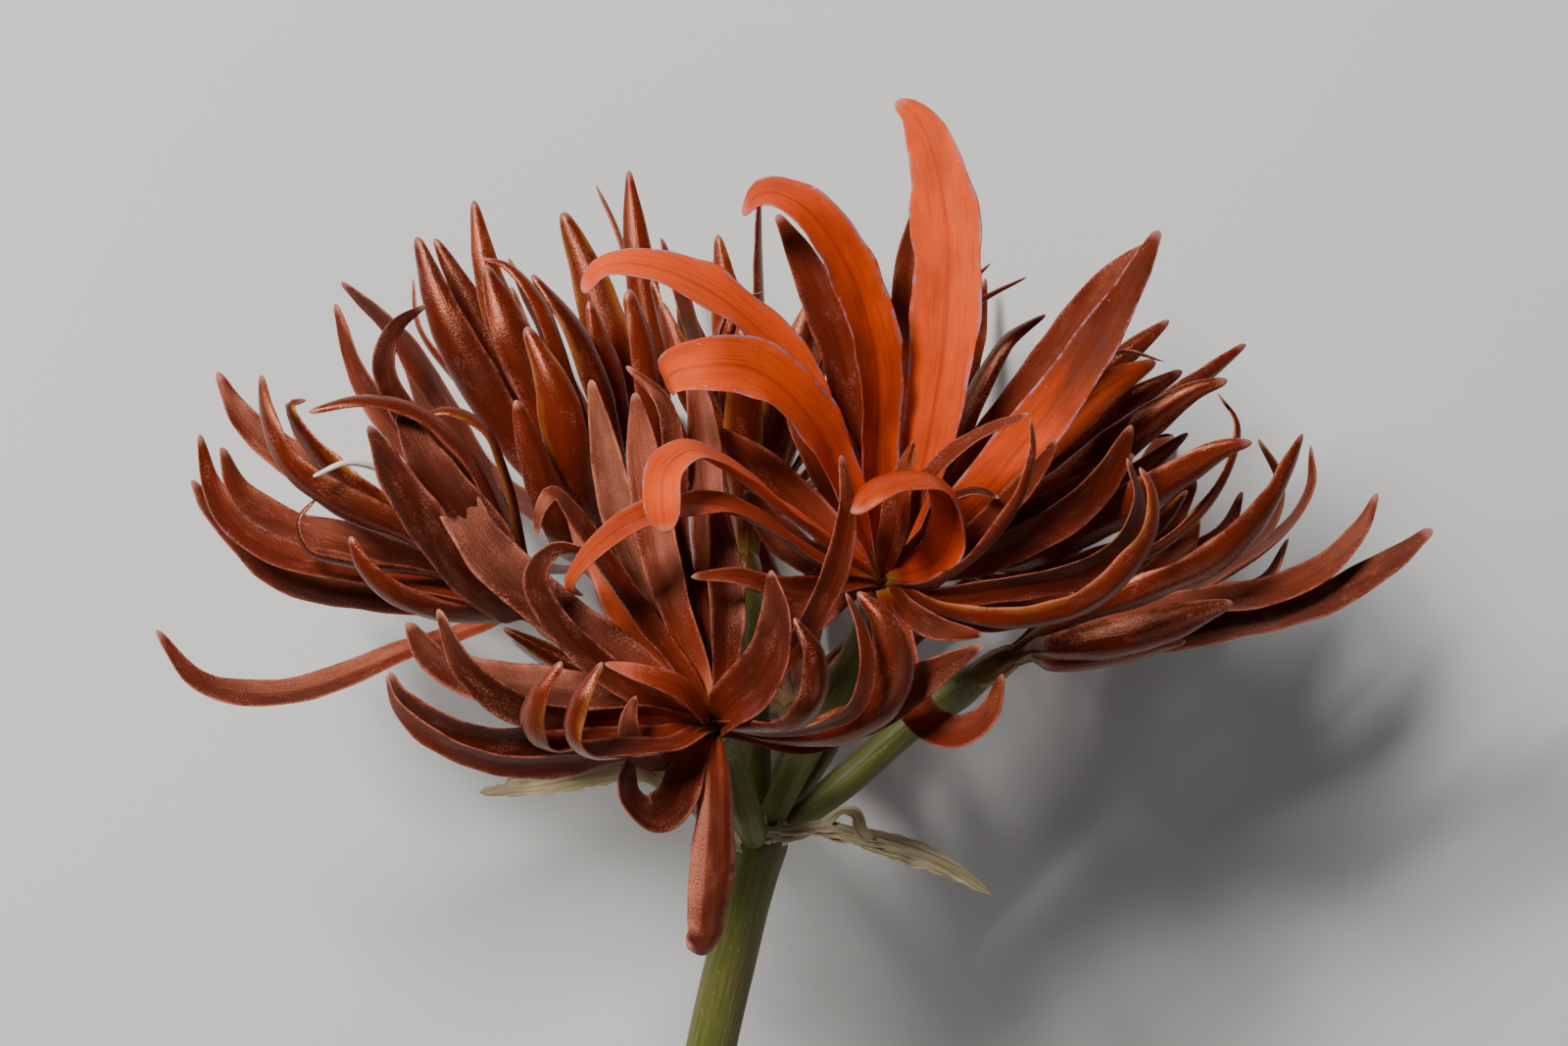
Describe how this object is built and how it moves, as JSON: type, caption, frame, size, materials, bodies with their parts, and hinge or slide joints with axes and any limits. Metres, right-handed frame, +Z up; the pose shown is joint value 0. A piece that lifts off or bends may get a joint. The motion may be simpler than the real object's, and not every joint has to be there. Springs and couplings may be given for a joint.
{
  "type": "red spider lily",
  "caption": "Cut red spider lily lying on its side: a green scape with an umbel of double flowers whose long narrow tepals curl back, and dried papery bracts below.",
  "frame": {"origin": "bottom centre of the bounding box, on the surface that the flower lies on", "axes": "+Y from the scape's cut end towards the flowers, +Z up from the surface, +X to the right as the picture shows the head"},
  "size_m": [0.1537, 0.3258, 0.0999],
  "materials": {
    "tepal_orange": "satin, finely sparkling",
    "tepal_copper": "satin, finely sparkling",
    "stem": "satin, waxy",
    "bract": "dry, papery",
    "filament": "satin"
  },
  "bodies": {
    "root": {"scape": "stem", "pedicel_front": "stem", "pedicel_centre": "stem", "pedicel_left": "stem", "pedicel_right": "stem", "pedicel_back_left": "stem", "pedicel_top": "stem", "pedicel_back_right": "stem", "pedicel_rear": "stem", "bloom_front": "tepal_copper", "bloom_centre": "tepal_orange", "bloom_left": "tepal_copper", "bloom_right": "tepal_copper", "bloom_back_left": "tepal_copper", "bloom_top": "tepal_copper", "bloom_back_right": "tepal_copper", "bloom_rear": "tepal_copper", "bract_left": "bract", "bract_right": "bract", "filament": "filament"}
  },
  "joints": []
}
